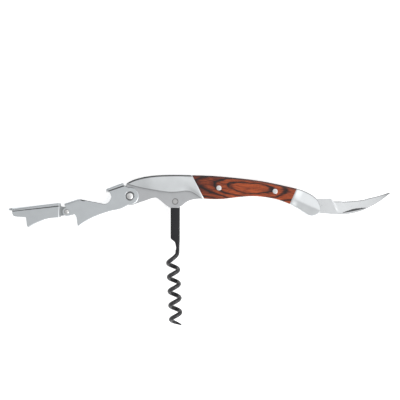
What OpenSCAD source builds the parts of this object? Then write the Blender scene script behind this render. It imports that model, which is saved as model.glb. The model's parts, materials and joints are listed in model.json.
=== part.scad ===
// Two-step lever corkscrew, open for use and lying on its side.
// +X runs along the handle to the blade, +Y to the handle's back, +Z up from the side it lies on.
// The origin is on the flat underside of the lower scale, midway between its two rivets.

/* [Handle] */
// Thickness of each liner, the steel plates that carry the pivots
liner_t = 1.2; // [1.0:0.1:1.2]
// Gap between the two liners, which the worm and the blade fold into
liner_gap = 6.3; // [6.2:0.1:6.4]
// Thickness of each scale and bolster outside the liners
scale_t = 3.0; // [2.6:0.1:3.4]
// Radius of the rivets that show on each scale
scale_rivet_r = 1.5; // [1.2:0.1:1.7]

/* [Lever] */
// Thickness of the sheet that the lever and its tip are pressed from
sheet_t = 1.0; // [0.8:0.1:1.0]
// Width of the lever over its cheeks
lever_w = 11.0; // [11.0:0.1:11.4]
// Radius of the lever's pivot pin
lever_pin_r = 1.5; // [1.2:0.1:1.6]
// Radius of the pin's domed head
lever_head_r = 2.0; // [1.8:0.1:2.2]
// Radius of the recess round the head
lever_recess_r = 2.5; // [2.4:0.1:2.8]
// Radius of the pin between the lever and its tip
tip_pin_r = 1.0; // [0.8:0.1:1.1]

/* [Worm] */
// Diameter of the worm's wire
wire_d = 2.6; // [2.2:0.1:2.8]
// Outside diameter of the worm
worm_d = 8.46; // [8.2:0.02:8.6]
// Rise of each turn
worm_pitch = 8.52; // [8.3:0.02:8.7]
// Thickness of the flat shank
shank_t = 3.0; // [2.6:0.1:3.2]
// Width of the flat shank
shank_w = 5.6; // [5.2:0.1:5.8]
// Radius of the worm's pivot pin
worm_pin_r = 1.8; // [1.5:0.1:1.9]

/* [Blade] */
// Thickness of the foil blade
blade_t = 2.0; // [1.6:0.1:2.2]
// Depth of the nail nick
nick_depth = 0.4; // [0.2:0.1:0.5]
// Spacing of the serrations
tooth_pitch = 1.1; // [0.9:0.1:1.3]
// Depth of the serrations
tooth_depth = 0.3; // [0.1:0.05:0.4]
// Radius of the blade's pivot pin
blade_pin_r = 1.5; // [1.3:0.1:1.6]

/* [Hidden] */

$fn = 64;
upper = 1;
lower = -1;
run = 0.05;                                // radial clearance of a moving fit
seat = 0.01;                               // radial clearance of a fixed pin
slide = 0.15;                              // gap between the sheets that slide past each other
gap_half = liner_gap / 2;
liner_out = gap_half + liner_t;            // outer face of a liner, from the middle plane
half_t = liner_out + scale_t;              // outer face of a scale, from the middle plane
mid = half_t;                              // height of the middle plane above the underside
lever_out = lever_w / 2;
lever_in = lever_out - sheet_t;            // inner face of a lever cheek
blind = 1.5;                               // depth of the hidden pins in the bolsters
over = 0.5;                                // how far a cutting shape runs past what it cuts

// Pivots
lever_pivot = [-70.1, -3.8];
tip_pivot = [-107.9, -13.2];
worm_pivot = [-43.0, -7.1];
blade_pivot = [37.6, -10.0];
stop_at = blade_pivot + 4.2 * [cos(300), sin(300)];
stop_r = 0.8;
scale_rivets_at = [[-16.8, 1.0], [16.8, -1.0]];
front_pins_at = [[-60.0, 3.6], [-38.0, 3.6]];
rear_pin_at = [33.2, -3.6];
spacer_pins_at = [[-22.0, 3.0], [-2.0, -1.6]];
hidden_pin_r = 0.75;

// Line of the handle's back, from the nose to the rear joint
back_line = smooth([
    [-72.2, 3.5], [-69.5, 5.2], [-65.4, 6.7], [-60.5, 7.8], [-55.0, 8.5], [-49.1, 8.8],
    [-43.3, 8.9], [-33.1, 8.7], [-21.2, 8.3], [-8.9, 7.3], [6.4, 5.5], [18.0, 3.3], [29.7, 0.7]
]);
// Line round the tail, from the rear joint back to the belly
tail_line = smooth([
    [29.7, 0.7], [33.7, -0.5], [38.2, -2.7], [41.7, -5.4], [43.3, -8.2], [43.9, -10.7],
    [43.7, -13.0], [42.6, -14.6], [40.5, -15.6], [38.2, -15.8], [36.2, -15.0], [31.3, -11.9],
    [25.7, -8.6]
]);
// Line of the belly and of the ears that carry the worm, back to the nose
belly_line = smooth([
    [25.7, -8.6], [18.7, -6.0], [11.0, -4.5], [3.3, -3.9], [-5.1, -4.5], [-14.3, -5.6],
    [-20.9, -5.7], [-27.0, -5.4], [-31.7, -5.8], [-35.4, -7.0], [-38.6, -9.4], [-41.0, -10.9]
]);
ear_line = smooth([
    [-46.2, -10.9], [-47.9, -9.8], [-50.6, -7.6], [-53.2, -5.5], [-54.9, -4.8], [-57.4, -5.3]
]);
nose_r = 5.6;                              // radius of the liners round the lever's pivot
nose_line = arc_points(lever_pivot, nose_r, 290, 125, 24);

// Lower edge of a front bolster, a step above the lever and the ears
bolster_edge = smooth([
    [-72.2, 3.5], [-68.4, 2.3], [-63.9, 1.1], [-57.0, -0.2], [-50.2, -1.3], [-45.0, -1.8],
    [-40.6, -1.5], [-36.4, -1.0], [-33.2, -1.5], [-30.2, -3.2], [-27.0, -5.6]
]);
front_joint = [[-33.2, 9.5], [-25.2, -6.4]];
rear_joint = [[30.1, 1.4], [25.3, -9.2]];

// Lever cheek
lever_back = [[-109.4, -8.3], [-101.0, -5.5], [-88.0, -8.1]];
notch_line = smooth([
    [-88.0, -8.1], [-85.6, -8.6], [-83.7, -8.1], [-82.2, -6.6], [-81.4, -4.8], [-81.6, -3.0],
    [-82.5, -1.6], [-84.3, -0.8]
]);
hook_back = [[-84.5, 0.4], [-74.6, 4.1], [-73.9, 3.3], [-73.7, 2.6], [-71.0, 1.4]];
lever_end_r = 5.2;
lever_front_r = 2.6;
lever_belly = smooth([
    [-70.5, -8.9], [-74.2, -10.9], [-77.8, -12.0], [-81.4, -12.7], [-85.0, -13.8],
    [-89.3, -15.3], [-93.7, -17.3], [-97.6, -19.6], [-100.4, -21.5]
]);
first_claw = smooth([
    [-101.4, -21.9], [-101.7, -19.8], [-101.8, -17.9], [-102.2, -16.4], [-102.8, -15.3],
    [-103.6, -14.8], [-105.2, -15.3], [-106.9, -15.7]
]);

// Lever tip
tip_lip = [-143.2, -11.2];                 // where the tongue that stands out past the cheeks ends
tip_crest = [-112.4, -7.9];
tip_back = [between(tip_lip, tip_crest, 0.075), tip_crest];
tip_edge_x = -112.2;                       // where the wide cheeks end and the knuckle begins
lip_r = 2.5;                               // radius of the lip's two corners
lip_t = 1.5;                               // the lip is thicker than the sheet, for stiffness
knuckle_r = 2.5;
tip_heel = smooth([
    [-140.6, -14.2], [-139.8, -15.7], [-138.2, -16.2], [-135.5, -16.4], [-132.4, -16.6]
]);
tip_belly = smooth([
    [-129.8, -21.9], [-127.3, -20.4], [-123.7, -18.8], [-120.6, -17.7], [-117.5, -17.1],
    [-114.5, -16.8], [-112.2, -16.6]
]);

// Foil blade
blade_spine = smooth([
    [42.0, -14.2], [47.4, -14.4], [52.0, -14.7], [56.6, -14.8], [61.2, -14.5], [65.8, -13.6],
    [70.4, -12.1], [74.9, -9.9], [79.6, -7.2], [84.1, -3.9], [86.9, -1.5]
]);
blade_edge = smooth([
    [86.9, -1.5], [84.1, -2.2], [79.6, -3.6], [74.9, -4.8], [70.4, -5.8], [65.8, -6.5],
    [58.9, -7.0], [52.6, -7.0]
]);
toothed_x = [57.0, 72.0];
tang_r = 3.3;

// Worm, drawn along its own length from the pivot down, then turned to its lean
worm_lean = 2.8;                           // angle of the worm's axis off straight down
worm_from = [-44.95, -31.0];               // a point on that axis
turns_from = -37.7;                        // where on that axis the turns begin, in Y
coil_r = (worm_d - wire_d) / 2;
lead_in = 2.0;                             // extra rise of the first half turn
coil_turns = 4.92;
ring_step = 15;                            // angle between the rings of the coil
ring_sides = 12;
taper_turns = 0.42;                        // the last part of a turn, ground to a point
flare = 0.8;                               // how far the point stands out past the turns

// A smooth curve through the points p, as short straight steps
function smooth(p, steps = 5) = concat(
    [for (i = [0:len(p) - 2], k = [0:steps - 1])
        blend_point(p[max(i - 1, 0)], p[i], p[i + 1], p[min(i + 2, len(p) - 1)], k / steps)],
    [p[len(p) - 1]]
);
function blend_point(a, b, c, d, t) = 0.5 * (
    2 * b + (c - a) * t + (2 * a - 5 * b + 4 * c - d) * t ^ 2 + (3 * b - a - 3 * c + d) * t ^ 3
);

function between(a, b, share) = a + (b - a) * share;
function reversed(p) = [for (i = [len(p) - 1:-1:0]) p[i]];

// Points on a round stretch about c, from one angle to another
function arc_points(c, r, from, to, steps) =
    [for (k = [0:steps]) let (a = from + (to - from) * k / steps) c + r * [cos(a), sin(a)]];

// A flat layer on one side of the middle plane, from the height near up by t
module layer(side, near, t) {
    translate([0, 0, mid + (side > 0 ? near : -near - t)]) linear_extrude(t) children();
}
// The same layer on both sides
module both(near, t) {
    layer(upper, near, t) children();
    layer(lower, near, t) children();
}
// A bar across the middle plane, half each side
module across(half) {
    translate([0, 0, mid - half]) linear_extrude(2 * half) children();
}
module disc(at, r) {
    translate(at) circle(r);
}
module ring(at, r, bore) {
    difference() {
        disc(at, r);
        disc(at, bore);
    }
}
// A strip t thick whose outer face runs from a to b, with the metal to the right of that line
module strip_2d(a, b, t) {
    along = (b - a) / norm(b - a);
    inward = [along[1], -along[0]];
    polygon([a, b, b + t * inward, a + t * inward]);
}
// A low dome of radius r and height h, pointing up from the origin
module dome(r, h) {
    ball = (r ^ 2 + h ^ 2) / (2 * h);
    intersection() {
        translate([0, 0, h - ball]) sphere(ball);
        cylinder(r = r, h = h);
    }
}
// Turns what points up to point to the given side
module facing(side) {
    if (side > 0) children();
    else mirror([0, 0, 1]) children();
}
// A pin through the middle plane with a domed head at each end
module domed_pin(at, r, half, head_r, head_from, head_h) {
    translate([at[0], at[1], mid]) {
        translate([0, 0, -half]) cylinder(r = r, h = 2 * half);
        for (side = [upper, lower])
            facing(side) {
                translate([0, 0, head_from]) cylinder(r = head_r, h = half - head_from);
                translate([0, 0, half]) dome(head_r, head_h);
            }
    }
}

// Handle
module handle_2d() {
    polygon(concat(back_line, tail_line, belly_line, ear_line, nose_line));
}
module front_bolster_2d() {
    intersection() {
        handle_2d();
        polygon(concat(bolster_edge, [front_joint[1], front_joint[0], [-74, 9.5], [-74, 3.5]]));
    }
}
module scale_2d() {
    intersection() {
        handle_2d();
        polygon([front_joint[0], front_joint[1], [25.3, -10], rear_joint[1], rear_joint[0],
                 [30.1, 9.5]]);
    }
}
module rear_bolster_2d() {
    intersection() {
        handle_2d();
        polygon([rear_joint[0], rear_joint[1], [25.3, -17], [45, -17], [45, 1.4]]);
    }
}
module liner(side) {
    color("silver") difference() {
        layer(side, gap_half, liner_t) handle_2d();
        layer(side, gap_half - over, liner_t + 2 * over) {
            disc(lever_pivot, lever_pin_r + seat);
            disc(worm_pivot, worm_pin_r + seat);
            disc(blade_pivot, blade_pin_r + seat);
            disc(stop_at, stop_r + seat);
            for (at = scale_rivets_at) disc(at, scale_rivet_r + seat);
            for (at = concat(front_pins_at, [rear_pin_at], spacer_pins_at))
                disc(at, hidden_pin_r + seat);
        }
    }
}
module upper_liner() { liner(upper); }
module lower_liner() { liner(lower); }

// Between the liners: roofs the worm's slot and runs under the closed blade
module spacer_bar() {
    color("gray") difference() {
        across(gap_half) intersection() {
            handle_2d();
            polygon(concat(
                [[-64.0, 9.5], [-12.0, 9.5], [-12.0, 2.2], [-4.0, 0.6], [4.0, -0.8], [11.0, -2.6],
                 [11.0, -10.0], [-27.5, -10.0], [-28.0, -4.8], [-34.0, -4.4], [-38.5, -3.5],
                 [-50.0, -3.5], [-53.0, -4.0], [-64.0, -4.0]]
            ));
        }
        across(gap_half + over)
            for (at = concat(front_pins_at, spacer_pins_at)) disc(at, hidden_pin_r + seat);
    }
}
module front_bolster(side) {
    color("lightsteelblue") difference() {
        layer(side, liner_out, scale_t) front_bolster_2d();
        layer(side, liner_out - over, blind + over)
            for (at = front_pins_at) disc(at, hidden_pin_r + seat);
    }
}
module upper_front_bolster() { front_bolster(upper); }
module lower_front_bolster() { front_bolster(lower); }
module rear_bolster(side) {
    color("lightsteelblue") difference() {
        layer(side, liner_out, scale_t) rear_bolster_2d();
        layer(side, liner_out - over, blind + over) {
            disc(rear_pin_at, hidden_pin_r + seat);
            disc(blade_pivot, blade_pin_r + seat);
        }
    }
}
module upper_rear_bolster() { rear_bolster(upper); }
module lower_rear_bolster() { rear_bolster(lower); }
module scale_plate(side) {
    color("sienna") difference() {
        layer(side, liner_out, scale_t) scale_2d();
        layer(side, liner_out - over, scale_t + 2 * over)
            for (at = scale_rivets_at) disc(at, scale_rivet_r + seat);
    }
}
module upper_scale() { scale_plate(upper); }
module lower_scale() { scale_plate(lower); }

// Fixed pins
module scale_rivets(side) {
    color("gainsboro") layer(side, gap_half, liner_t + scale_t)
        for (at = scale_rivets_at) disc(at, scale_rivet_r);
}
module upper_scale_rivets() { scale_rivets(upper); }
module lower_scale_rivets() { scale_rivets(lower); }
module bolster_pins() {
    color("gray") {
        across(liner_out + blind) for (at = front_pins_at) disc(at, hidden_pin_r);
        both(gap_half, liner_t + blind) disc(rear_pin_at, hidden_pin_r);
    }
}
module spacer_pins() {
    color("gray") across(liner_out) for (at = spacer_pins_at) disc(at, hidden_pin_r);
}
module lever_pivot_pin() {
    color("gainsboro") domed_pin(lever_pivot, lever_pin_r, lever_out, lever_head_r,
                                 lever_out - 0.4, 0.5);
}
module lever_pivot_sleeve() {
    color("gray") across(gap_half) ring(lever_pivot, 3.2, lever_pin_r + seat);
}
module worm_pivot_pin() {
    color("gainsboro") across(liner_out) disc(worm_pivot, worm_pin_r);
}
module worm_washers() {
    near = shank_t / 2 + run;
    color("darkgoldenrod") both(near, gap_half - near) ring(worm_pivot, 2.8, worm_pin_r + seat);
}
module blade_pivot_pin() {
    color("gray") across(liner_out + blind) disc(blade_pivot, blade_pin_r);
}
module blade_washers() {
    near = blade_t / 2 + run;
    color("darkgoldenrod") both(near, gap_half - near) ring(blade_pivot, 3.0, blade_pin_r + seat);
}
module blade_stop_pin() {
    color("gray") across(liner_out) disc(stop_at, stop_r);
}

// Lever: a channel of two cheeks joined by a web over the front arm and one behind the notch
module lever_cheek_2d() {
    polygon(concat(
        lever_back, notch_line, hook_back, [lever_pivot], lever_belly, first_claw, [tip_pivot]
    ));
    disc(lever_pivot, lever_end_r);
    disc(tip_pivot, lever_front_r);
}
module lever() {
    color("silver") difference() {
        union() {
            both(lever_in, sheet_t) lever_cheek_2d();
            across(lever_out) {
                strip_2d(lever_back[0], lever_back[1], sheet_t);
                strip_2d(lever_back[1], lever_back[2], sheet_t);
                strip_2d(hook_back[0], hook_back[1], sheet_t);
            }
        }
        across(lever_out + over) {
            disc(lever_pivot, lever_pin_r + run);
            disc(tip_pivot, tip_pin_r + seat);
        }
        both(lever_out - 0.45, 0.45 + over) disc(lever_pivot, lever_recess_r);
        spring_rivet_hole();
    }
}
// The spring's rivet stands square to the web over the front arm
web_dir = (lever_back[1] - lever_back[0]) / norm(lever_back[1] - lever_back[0]);
web_angle = atan2(web_dir[1], web_dir[0]);
spring_t = 0.4;
spring_rivet_r = 0.9;
spring_rivet_at = lever_back[1] - 1.9 * web_dir;
module on_web() {
    translate([spring_rivet_at[0], spring_rivet_at[1], mid])
        rotate([0, 0, web_angle]) rotate([90, 0, 0]) children();
}
module spring_rivet_hole() {
    on_web() translate([0, 0, -over]) cylinder(r = spring_rivet_r + seat, h = sheet_t + 2 * over);
}
module tip_spring() {
    side = [web_dir[1], -web_dir[0]];
    from = lever_back[0] + (sheet_t + seat) * side - 0.2 * web_dir;
    to = lever_back[1] + (sheet_t + seat) * side - 0.8 * web_dir;
    color("silver") difference() {
        across(2.6) strip_2d(from, to, spring_t);
        on_web() cylinder(r = spring_rivet_r + seat, h = 3 * sheet_t);
    }
}
module tip_spring_rivet() {
    color("gainsboro") on_web() {
        cylinder(r = spring_rivet_r, h = sheet_t + seat + spring_t + 0.3);
        mirror([0, 0, 1]) dome(1.4, 0.35);
        translate([0, 0, sheet_t + 2 * seat + spring_t]) cylinder(r = 1.3, h = 0.3);
    }
}
module lever_hinge_pin() {
    color("gainsboro") domed_pin(tip_pivot, tip_pin_r, lever_out + seat, 1.5, lever_out + seat, 0.6);
}

// Lever tip: wide cheeks, jogged in to a knuckle that sits between the lever's cheeks
module tip_cheek_2d() {
    polygon(concat(
        tip_back, [[tip_edge_x, -8.3]], reversed(tip_belly),
        [[-130.5, -22.4], [-131.5, -22.3], [-131.9, -21.4], [-132.1, -19.1]], reversed(tip_heel)
    ));
}
module knuckle_2d() {
    polygon([
        [tip_edge_x - 1, tip_pivot[1] + knuckle_r + 1.1], tip_pivot + [-0.8, knuckle_r + 0.1],
        tip_pivot, tip_pivot + [-0.4, 0.4 - knuckle_r], [tip_edge_x - 1, tip_pivot[1] - knuckle_r - 0.4]
    ]);
    disc(tip_pivot, knuckle_r);
}
module lever_tip() {
    knuckle_out = lever_in - slide;
    knuckle_in = knuckle_out - sheet_t;
    color("silver") difference() {
        union() {
            both(lever_in, sheet_t) tip_cheek_2d();
            both(knuckle_in, sheet_t) knuckle_2d();
            both(knuckle_in, lever_out - knuckle_in) intersection() {
                tip_cheek_2d();
                knuckle_2d();
            }
            tip_web();
        }
        across(lever_in) disc(tip_pivot, tip_pin_r + run);
    }
}
// The web, and the tongue that runs on from it past the cheeks as a lip with round corners. The
// tongue is a hair lower and narrower than the web.
module tip_web() {
    along = tip_crest - tip_lip;
    corner = lever_out - slide - lip_r;
    across(lever_out) strip_2d(tip_back[0], tip_back[1], sheet_t);
    translate([tip_lip[0], tip_lip[1], mid])
        rotate([0, 0, atan2(along[1], along[0])]) rotate([90, 0, 0]) translate([0, 0, run])
            linear_extrude(lip_t - run) polygon(concat(
                [[2 * lip_r, -corner - lip_r], [2 * lip_r, corner + lip_r]],
                arc_points([lip_r, corner], lip_r, 90, 180, 10),
                arc_points([lip_r, -corner], lip_r, 180, 270, 10)
            ));
}

// Worm: one wire, flattened to a shank at its top, swept as rings down to the point
shank_half_w = shank_w / 2;
shank_top = worm_pivot[1] + shank_half_w;
neck_x = worm_from[0] + (worm_from[1] - turns_from) * tan(worm_lean) + coil_r;
round_top = [0.05, 0.3, 0.8, 1.5, 2.2, 2.8];
neck_rows = [
    // distance below the shank's top, how far the left and the right edge have come in to the
    // wire, and how round the section is
    [2.9, 0, 0, 0], [24.7, 0, 0, 0], [25.3, 0.12, 0, 0], [26.0, 0.42, 0.05, 0.1],
    [26.8, 0.76, 0.2, 0.25], [27.8, 0.96, 0.45, 0.4], [29.4, 1.1, 0.75, 0.65],
    [30.8, 1.15, 0.95, 0.9], [31.7, 1.08, 1, 1], [32.6, 1, 1, 1]
];
// A level ring of the shank: square is 0.25 where the sides are flat and 1 where it is round
function flat_ring(y, x1, x2, t, square) = [for (k = [0:ring_sides - 1])
    let (a = (k + 0.5) * 360 / ring_sides)
        [(x1 + x2) / 2 + sign(cos(a)) * abs(cos(a)) ^ square * (x2 - x1) / 2, y,
         sign(sin(a)) * abs(sin(a)) ^ square * t / 2]];
function top_ring(d) = let (half = sqrt(shank_half_w ^ 2 - (shank_half_w - d) ^ 2))
    flat_ring(shank_top - d, worm_pivot[0] - half, worm_pivot[0] + half, shank_t, 0.25);
function neck_ring(row) = flat_ring(
    shank_top - row[0],
    between(worm_pivot[0] - shank_half_w, neck_x - wire_d / 2, row[1]),
    between(worm_pivot[0] + shank_half_w, neck_x + wire_d / 2, row[2]),
    between(shank_t, wire_d, row[3]), between(0.25, 1, row[3])
);
// The coil: a right-handed screw whose first half turn rises faster, and which ends in a point
function coil_fall(a) = worm_pitch * a / 360 + lead_in * (1 - max(0, 1 - a / 180) ^ 2);
function coil_at(a) = let (r = coil_r + flare * max(0, 1 - (coil_turns - a / 360) / 0.3) ^ 2)
    [r * cos(a), -coil_fall(a), r * sin(a)];
function leaned(p) = [
    neck_x - coil_r + p[0] * cos(worm_lean) - p[1] * sin(worm_lean),
    turns_from + p[0] * sin(worm_lean) + p[1] * cos(worm_lean), p[2]
];
function coil_ring(a) = let (
        ahead = coil_at(a + 2) - coil_at(a - 2),
        u = ahead / norm(ahead),
        out = [cos(a), 0, sin(a)],
        level = out - (out * u) * u,
        v = cross(u, level),
        left = (coil_turns - a / 360) / taper_turns,
        r = wire_d / 2 * (left < 1 ? between(0.12, 1, sqrt(max(left, 0))) : 1)
    ) [for (k = [0:ring_sides - 1]) let (b = (k + 0.5) * 360 / ring_sides)
        leaned(coil_at(a) + r * (cos(b) * level + sin(b) * v))];
worm_rings = concat(
    [for (d = round_top) top_ring(d)],
    [for (row = neck_rows) neck_ring(row)],
    [for (a = [ring_step:ring_step:360 * coil_turns]) coil_ring(a)]
);
module sweep(rings) {
    n = len(rings[0]);
    last = len(rings) - 1;
    polyhedron(
        points = [for (r = rings, p = r) [p[0], p[1], p[2] + mid]],
        faces = concat(
            [[for (k = [0:n - 1]) k]],
            [for (i = [0:last - 1], k = [0:n - 1], tri = [0, 1]) let (j = (k + 1) % n)
                tri == 0 ? [i * n + k, (i + 1) * n + k, (i + 1) * n + j]
                         : [i * n + k, (i + 1) * n + j, i * n + j]],
            [[for (k = [n - 1:-1:0]) last * n + k]]
        )
    );
}
module worm() {
    color("dimgray") difference() {
        sweep(worm_rings);
        across(shank_t) disc(worm_pivot, worm_pin_r + run);
    }
}

// Blade: tang, stop shoulder, ricasso, toothed hollow edge and a nail nick
function toothed(p) = [for (q = p)
    let (inside = q[0] > toothed_x[0] && q[0] < toothed_x[1])
        [q[0], q[1] - (inside ? tooth_depth * (0.5 - 0.5 * cos(360 * q[0] / tooth_pitch)) : 0)]];
function resample(p, n) = [for (i = [0:len(p) - 2], k = [0:n - 1]) p[i] + (p[i + 1] - p[i]) * k / n];
module blade_2d() {
    polygon(concat(
        [[41.0, -12.6], [41.0, -14.2]], blade_spine, toothed(resample(blade_edge, 4)),
        [[52.4, -7.0], [50.4, -5.3], [42.2, -5.5], [39.2, -7.2], blade_pivot]
    ));
    disc(blade_pivot, tang_r);
}
module nick_2d() {
    intersection() {
        disc([66.8, -23.6], 12.4);
        polygon([[58.4, -13.7], [71.8, -11.3], [71.8, -6.0], [58.4, -6.0]]);
    }
}
module blade() {
    color("whitesmoke") difference() {
        across(blade_t / 2) blade_2d();
        across(blade_t) disc(blade_pivot, blade_pin_r + run);
        layer(upper, blade_t / 2 - nick_depth, nick_depth + over) nick_2d();
    }
}

upper_liner();
lower_liner();
spacer_bar();
upper_front_bolster();
lower_front_bolster();
upper_rear_bolster();
lower_rear_bolster();
upper_scale();
lower_scale();
upper_scale_rivets();
lower_scale_rivets();
bolster_pins();
spacer_pins();
lever_pivot_pin();
lever_pivot_sleeve();
worm_pivot_pin();
worm_washers();
blade_pivot_pin();
blade_washers();
blade_stop_pin();
lever();
tip_spring();
tip_spring_rivet();
lever_hinge_pin();
lever_tip();
worm();
blade();
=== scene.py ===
import json
import math

import bmesh
import bpy
from bpy.props import FloatProperty, FloatVectorProperty, IntProperty, PointerProperty
from mathutils import Matrix, Vector


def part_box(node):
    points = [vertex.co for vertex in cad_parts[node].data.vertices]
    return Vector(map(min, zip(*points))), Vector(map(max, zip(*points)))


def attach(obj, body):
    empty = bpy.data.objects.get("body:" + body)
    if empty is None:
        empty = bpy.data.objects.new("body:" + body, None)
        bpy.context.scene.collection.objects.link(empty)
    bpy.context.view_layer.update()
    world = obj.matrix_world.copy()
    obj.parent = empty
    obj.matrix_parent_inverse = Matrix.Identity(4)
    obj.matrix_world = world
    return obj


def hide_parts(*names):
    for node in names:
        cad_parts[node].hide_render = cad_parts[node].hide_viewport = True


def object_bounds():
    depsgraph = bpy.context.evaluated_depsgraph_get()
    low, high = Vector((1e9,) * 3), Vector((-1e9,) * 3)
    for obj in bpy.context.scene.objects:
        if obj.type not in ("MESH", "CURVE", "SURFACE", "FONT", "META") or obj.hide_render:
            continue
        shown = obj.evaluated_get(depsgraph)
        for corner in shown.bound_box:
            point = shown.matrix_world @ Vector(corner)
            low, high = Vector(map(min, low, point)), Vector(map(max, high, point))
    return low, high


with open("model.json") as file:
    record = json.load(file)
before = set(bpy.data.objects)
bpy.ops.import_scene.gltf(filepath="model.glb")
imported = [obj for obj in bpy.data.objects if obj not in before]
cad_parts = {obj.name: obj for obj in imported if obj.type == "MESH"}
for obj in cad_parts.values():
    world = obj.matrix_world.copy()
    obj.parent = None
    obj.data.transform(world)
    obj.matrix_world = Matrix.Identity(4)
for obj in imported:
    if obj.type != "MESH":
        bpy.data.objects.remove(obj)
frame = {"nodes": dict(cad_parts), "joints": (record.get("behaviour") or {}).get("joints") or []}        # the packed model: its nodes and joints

bl_info = {
    "name": "Lever corkscrew",
    "version": (1, 0, 0),
    "blender": (4, 5, 0),
    "location": "3D View > Sidebar > Corkscrew",
    "description": "Finished pieces, materials and a small studio for a two-step lever corkscrew",
    "category": "Add Mesh",
}

# ---------------------------------------------------------------- the frame

MM = 0.001
WELD = 0.002 * MM                 # points nearer than this are one point
SLIVER = 0.05 * MM                # the same, where a copy is going to be cut or bevelled
CAD_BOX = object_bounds()
UPPER, LOWER = 1, -1


def pivot_of(joint):
    """Where a joint's axis stands."""
    return Vector(next(j for j in frame["joints"] if j["name"] == joint)["pos_m"])


MID = pivot_of("lever_fold").z    # height of the middle plane, which the pivots share
LINER_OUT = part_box("upper_liner")[1].z - MID
SCALE_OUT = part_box("upper_scale")[1].z - MID
LEVER_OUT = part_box("lever")[1].z - MID


def copy_of(node, weld=WELD):
    """A node's mesh as a bmesh, with its points merged and its flat faces made whole."""
    mesh = bmesh.new()
    mesh.from_mesh(frame["nodes"][node].data)
    bmesh.ops.remove_doubles(mesh, verts=mesh.verts, dist=weld)
    bmesh.ops.dissolve_limit(
        mesh, angle_limit=math.radians(0.5), verts=mesh.verts, edges=mesh.edges
    )
    return mesh


def centres_of(node):
    """The centre of each separate solid in a node."""
    mesh = copy_of(node)
    left, centres = set(mesh.verts), []
    while left:
        island, queue = [], [left.pop()]
        while queue:
            vert = queue.pop()
            island.append(vert.co.copy())
            near = [e.other_vert(vert) for e in vert.link_edges]
            queue += [v for v in near if v in left]
            left.difference_update(near)
        low, high = (Vector([fit(p[i] for p in island) for i in range(3)]) for fit in (min, max))
        centres.append((low + high) / 2)
    mesh.free()
    return sorted(centres, key=lambda p: p.x)


# ---------------------------------------------------------------- settings


def length_setting(name, description, millimetres):
    return FloatProperty(
        name=name, description=description, default=millimetres * MM, min=0,
        subtype="DISTANCE", unit="LENGTH", precision=5,
    )


def share_setting(name, description, default):
    return FloatProperty(
        name=name, description=description, default=default, min=0, max=1, subtype="FACTOR"
    )


def colour_setting(name, description, default):
    return FloatVectorProperty(
        name=name, description=description, default=default, size=3, min=0, max=1,
        subtype="COLOR",
    )


class HandleSettings(bpy.types.PropertyGroup):
    """Shape of the bolsters and the scales"""

    proud: length_setting("Proud rivets", "How far the rivets' middles stand above the wood", 0.14)
    crown: length_setting("Crown", "How far the surface falls from its ridge to its edges", 0.75)
    edge_round: length_setting("Edge rounding", "Radius along the handle's back and belly", 0.8)
    step_round: length_setting("Step rounding", "Radius along the step above the lever", 0.3)
    nose_fall: length_setting("Nose fall", "How far the front bolster falls towards its nose", 1.0)
    lip: length_setting("Joint bevel", "Depth of the bevel where a bolster meets the wood", 0.15)
    facet: length_setting("Facet fall", "How far the rear bolster falls either side of its ridge", 1.4)


class SheetSettings(bpy.types.PropertyGroup):
    """Shape of the pressed steel pieces"""

    fold: length_setting("Fold", "Outside radius where a web turns down into the cheeks", 1.6)
    jog: length_setting("Jog", "Radius where the tip's cheeks turn in to the knuckle", 1.4)
    blunt: length_setting("Blunted edges", "Width taken off the sheared edges", 0.25)
    # The sheared line, the line under a fold and the ring round the pivot's head are painted shade;
    # the ring's radius also bounds the rim that is rounded.
    sheared: length_setting("Sheared line", "Width of the dark line along a sheared back", 0.75)
    halo: length_setting("Recess rim", "Radius of the rim round the pivot head's recess", 0.4)
    seam: length_setting("Seam", "Width of the dark line under a fold", 0.65)
    recess: length_setting("Pivot shadow", "Radius of the dark ring round the pivot head", 2.75)


class WormSettings(bpy.types.PropertyGroup):
    """Shape of the worm"""

    wire: length_setting("Wire", "Diameter of the wire", 2.6)
    outside: length_setting("Outside", "Outside diameter of the turns", 8.46)
    pitch: length_setting("Pitch", "Rise of each turn", 8.52)
    shank_width: length_setting("Shank width", "Width of the flat shank", 5.6)
    shank_thickness: length_setting("Shank thickness", "Thickness of the flat shank", 3.0)
    lean: FloatProperty(
        name="Lean", description="Angle of the worm off straight down",
        default=math.radians(2.8), subtype="ANGLE", unit="ROTATION",
    )
    turns: FloatProperty(name="Turns", description="Number of turns", default=4.92, min=1)
    sides: IntProperty(name="Sides", description="Sides of the wire", default=24, min=8, max=64)


class BladeSettings(bpy.types.PropertyGroup):
    """Shape of the foil blade"""

    edge: length_setting("Edge", "Thickness left at the cutting edge", 0.2)
    plunge: length_setting("Plunge", "Length over which the grind starts", 1.3)
    spine_share: share_setting("Flat by the spine", "Share of the width that isn't ground", 0.16)
    nick: length_setting("Nail nick", "Depth of the nail nick", 0.4)
    scallop: length_setting("Scallops", "Depth of the serrations' grind", 0.12)
    tooth: length_setting("Tooth", "Spacing of the serrations", 1.1)


class FinishSettings(bpy.types.PropertyGroup):
    """Colours of the finishes"""

    satin: colour_setting("Satin steel", "Colour of the bolsters", (0.76, 0.785, 0.80))
    liner: colour_setting("Liner steel", "Colour of the liners", (0.54, 0.55, 0.565))
    pressed: colour_setting("Pressed steel", "Colour of the lever", (0.60, 0.63, 0.65))
    pin: colour_setting("Pin steel", "Colour of pins and rivets", (0.80, 0.80, 0.80))
    blade: colour_setting("Blade steel", "Colour of the blade", (0.80, 0.82, 0.835))
    wood_light: colour_setting("Light wood", "Colour between the wood's rings", (0.46, 0.085, 0.020))
    wood_deep: colour_setting("Deep wood", "Colour towards the wood's rings", (0.11, 0.018, 0.008))
    wood_ring: colour_setting("Wood rings", "Colour of the wood's dark rings", (0.012, 0.007, 0.007))
    coating: colour_setting("Worm coating", "Colour of the worm's coating", (0.016, 0.016, 0.019))
    bronze: colour_setting("Bronze", "Colour of the washers", (0.55, 0.36, 0.16))


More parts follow.
